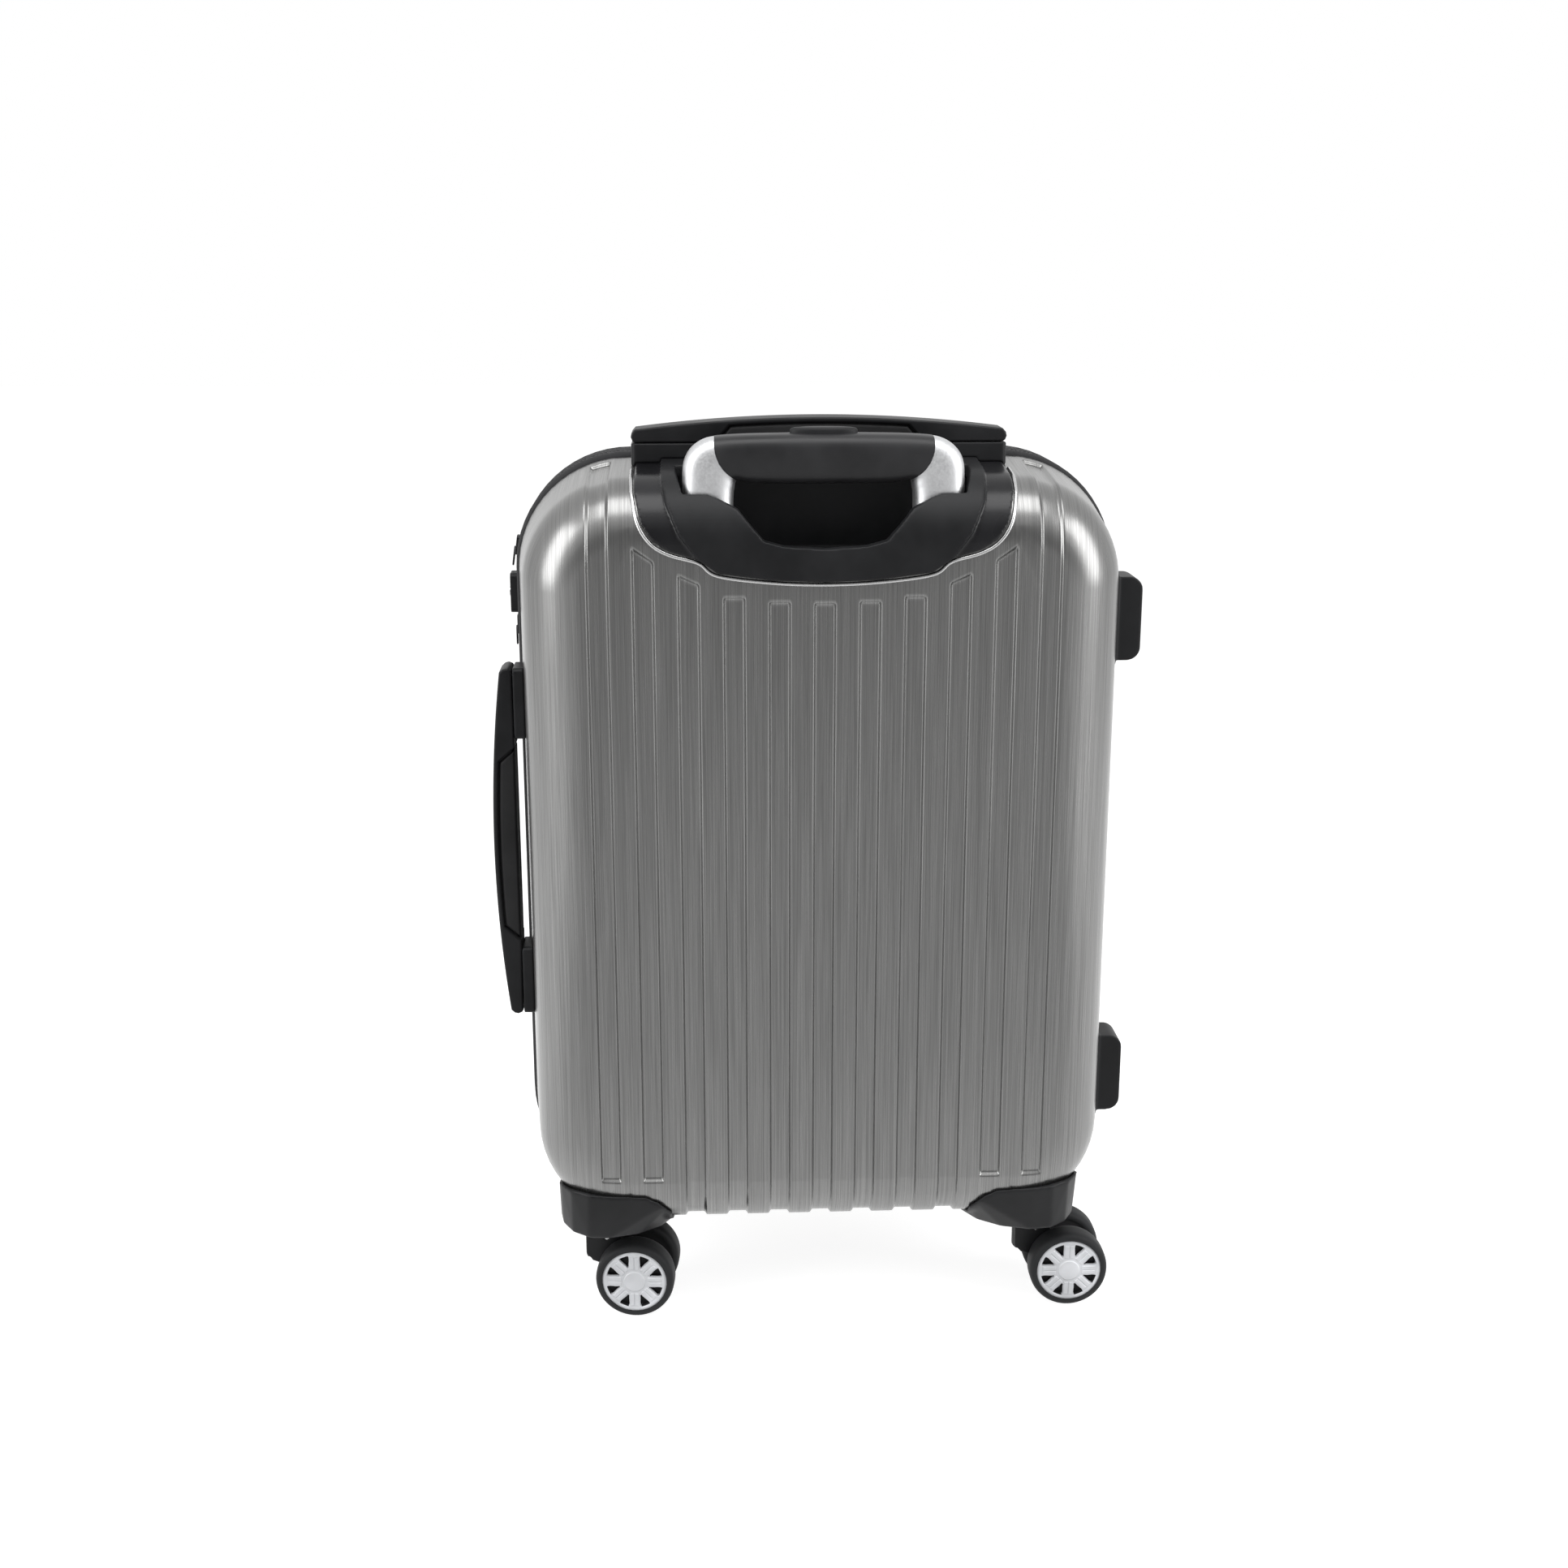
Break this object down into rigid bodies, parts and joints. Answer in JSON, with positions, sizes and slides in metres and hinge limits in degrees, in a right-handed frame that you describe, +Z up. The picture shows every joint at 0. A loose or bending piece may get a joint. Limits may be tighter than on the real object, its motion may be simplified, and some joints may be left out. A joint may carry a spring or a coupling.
{
  "type": "hard shell suitcase on wheels",
  "caption": "Upright hard shell suitcase with grooved brushed shells, telescopic trolley handle, carry handles, zip closure and swivelling twin-wheel casters.",
  "frame": {"origin": "on the floor under the middle of the case", "axes": "+Z up, +X across the case towards the side feet, -Y towards the trolley side"},
  "size_m": [0.3865, 0.2253, 0.5508],
  "materials": {
    "shell": "brushed silver film over moulded plastic",
    "black_plastic": "fine satin grain",
    "grip_rubber": "smooth soft touch",
    "satin_silver": "satin silver",
    "tube_metal": "drawn and anodised",
    "zip_fabric": "woven zip tape with coil teeth",
    "gusset_fabric": "plain woven nylon",
    "lining": "thin woven lining",
    "webbing": "flat webbing",
    "dark_metal": "dark plated",
    "pin_metal": "bright",
    "hub_plastic": "pale satin",
    "tyre": "smooth matte"
  },
  "bodies": {
    "rear_case": {"rear_shell": "shell", "rear_zip_band": "zip_fabric", "expansion_gusset": "gusset_fabric", "rear_lining": "lining", "compression_straps": "webbing", "strap_buckle": "black_plastic", "trolley_housing": "black_plastic", "outer_tubes": "tube_metal", "trolley_base": "black_plastic", "tube_guides": "black_plastic", "handle_bases": "black_plastic", "side_feet_rear": "black_plastic", "rear_wheel_housings": "black_plastic"},
    "middle_band": {"middle_zip_band": "zip_fabric", "hinge_fabric": "gusset_fabric", "lock_body": "black_plastic"},
    "front_case": {"front_shell": "shell", "front_zip_band": "zip_fabric", "front_lining": "lining", "side_feet_front": "black_plastic", "front_wheel_housings": "black_plastic"},
    "trolley_middle": {"middle_tubes": "tube_metal"},
    "trolley_top": {"upper_tubes": "tube_metal", "grip_corners": "satin_silver", "grip_cover": "grip_rubber"},
    "button": {"release_button": "black_plastic"},
    "top_carry": {"top_handle": "black_plastic", "top_handle_insert": "grip_rubber"},
    "side_carry": {"side_handle": "black_plastic", "side_handle_insert": "grip_rubber"},
    "lock_push": {"lock_button": "pin_metal"},
    "slider_lower": {"zip_slider_lower": "dark_metal"},
    "slider_upper": {"zip_slider_upper": "dark_metal"},
    "slider_expansion": {"expansion_slider": "dark_metal"},
    "caster_rear_left": {"fork_rear_left": "black_plastic", "pins_rear_left": "pin_metal"},
    "wheel_rear_left_a": {"hub_rear_left_a": "hub_plastic", "tyre_rear_left_a": "tyre"},
    "wheel_rear_left_b": {"hub_rear_left_b": "hub_plastic", "tyre_rear_left_b": "tyre"},
    "caster_rear_right": {"fork_rear_right": "black_plastic", "pins_rear_right": "pin_metal"},
    "wheel_rear_right_a": {"hub_rear_right_a": "hub_plastic", "tyre_rear_right_a": "tyre"},
    "wheel_rear_right_b": {"hub_rear_right_b": "hub_plastic", "tyre_rear_right_b": "tyre"},
    "caster_front_left": {"fork_front_left": "black_plastic", "pins_front_left": "pin_metal"},
    "wheel_front_left_a": {"hub_front_left_a": "hub_plastic", "tyre_front_left_a": "tyre"},
    "wheel_front_left_b": {"hub_front_left_b": "hub_plastic", "tyre_front_left_b": "tyre"},
    "caster_front_right": {"fork_front_right": "black_plastic", "pins_front_right": "pin_metal"},
    "wheel_front_right_a": {"hub_front_right_a": "hub_plastic", "tyre_front_right_a": "tyre"},
    "wheel_front_right_b": {"hub_front_right_b": "hub_plastic", "tyre_front_right_b": "tyre"}
  },
  "joints": [
    {"name": "expansion", "type": "slide", "parent": "rear_case", "child": "middle_band", "axis": [0, 1, 0], "range_m": [0, 0.04]},
    {"name": "case_opening", "type": "hinge", "parent": "middle_band", "child": "front_case", "pos_m": [0.192, 0.011, 0.293], "axis": [0, 0, -1], "range_deg": [0, 180]},
    {"name": "trolley_lower_stage", "type": "slide", "parent": "rear_case", "child": "trolley_middle", "axis": [0, 0, 1], "range_m": [0, 0.24]},
    {"name": "trolley_upper_stage", "type": "slide", "parent": "trolley_middle", "child": "trolley_top", "axis": [0, 0, 1], "range_m": [0, 0.24]},
    {"name": "release_press", "type": "slide", "parent": "trolley_top", "child": "button", "axis": [0, 0, -1], "range_m": [0, 0.003], "stiffness_N_per_m": 1500, "springref_m": -0.001},
    {"name": "top_handle_lift", "type": "slide", "parent": "rear_case", "child": "top_carry", "axis": [0, 0, 1], "range_m": [0, 0.012], "stiffness_N_per_m": 300, "springref_m": -0.002},
    {"name": "side_handle_lift", "type": "slide", "parent": "rear_case", "child": "side_carry", "axis": [-1, 0, 0], "range_m": [0, 0.012], "stiffness_N_per_m": 300, "springref_m": -0.002},
    {"name": "lock_press", "type": "slide", "parent": "middle_band", "child": "lock_push", "axis": [1, 0, 0], "range_m": [0, 0.0012], "stiffness_N_per_m": 500, "springref_m": -0.0005},
    {"name": "zip_slider_lower_travel", "type": "slide", "parent": "middle_band", "child": "slider_lower", "axis": [0, 0, -1], "range_m": [0, 0.27]},
    {"name": "zip_slider_upper_travel", "type": "hinge", "parent": "middle_band", "child": "slider_upper", "pos_m": [-0.111, 0.011, 0.46], "axis": [0, 1, 0], "range_deg": [0, 72]},
    {"name": "expansion_slider_travel", "type": "slide", "parent": "rear_case", "child": "slider_expansion", "axis": [1, 0, 0], "range_m": [0, 0.12]},
    {"name": "swivel_rear_left", "type": "hinge", "parent": "rear_case", "child": "caster_rear_left", "pos_m": [-0.135, -0.066, 0.055], "axis": [0, 0, 1], "continuous": true},
    {"name": "spin_rear_left_a", "type": "hinge", "parent": "caster_rear_left", "child": "wheel_rear_left_a", "pos_m": [-0.1131, -0.06811, 0.0245], "axis": [0.0958, 0.9954, 0], "continuous": true},
    {"name": "spin_rear_left_b", "type": "hinge", "parent": "caster_rear_left", "child": "wheel_rear_left_b", "pos_m": [-0.1131, -0.06811, 0.0245], "axis": [0.0958, 0.9954, 0], "continuous": true},
    {"name": "swivel_rear_right", "type": "hinge", "parent": "rear_case", "child": "caster_rear_right", "pos_m": [0.135, -0.066, 0.055], "axis": [0, 0, 1], "continuous": true},
    {"name": "spin_rear_right_a", "type": "hinge", "parent": "caster_rear_right", "child": "wheel_rear_right_a", "pos_m": [0.157, -0.066, 0.0245], "axis": [0, 1, 0], "continuous": true},
    {"name": "spin_rear_right_b", "type": "hinge", "parent": "caster_rear_right", "child": "wheel_rear_right_b", "pos_m": [0.157, -0.066, 0.0245], "axis": [0, 1, 0], "continuous": true},
    {"name": "swivel_front_left", "type": "hinge", "parent": "front_case", "child": "caster_front_left", "pos_m": [-0.135, 0.066, 0.055], "axis": [0, 0, 1], "continuous": true},
    {"name": "spin_front_left_a", "type": "hinge", "parent": "caster_front_left", "child": "wheel_front_left_a", "pos_m": [-0.11305, 0.06753, 0.0245], "axis": [-0.0698, 0.9976, 0], "continuous": true},
    {"name": "spin_front_left_b", "type": "hinge", "parent": "caster_front_left", "child": "wheel_front_left_b", "pos_m": [-0.11305, 0.06753, 0.0245], "axis": [-0.0698, 0.9976, 0], "continuous": true},
    {"name": "swivel_front_right", "type": "hinge", "parent": "front_case", "child": "caster_front_right", "pos_m": [0.135, 0.066, 0.055], "axis": [0, 0, 1], "continuous": true},
    {"name": "spin_front_right_a", "type": "hinge", "parent": "caster_front_right", "child": "wheel_front_right_a", "pos_m": [0.15697, 0.06485, 0.0245], "axis": [0.0523, 0.9986, 0], "continuous": true},
    {"name": "spin_front_right_b", "type": "hinge", "parent": "caster_front_right", "child": "wheel_front_right_b", "pos_m": [0.15697, 0.06485, 0.0245], "axis": [0.0523, 0.9986, 0], "continuous": true}
  ]
}
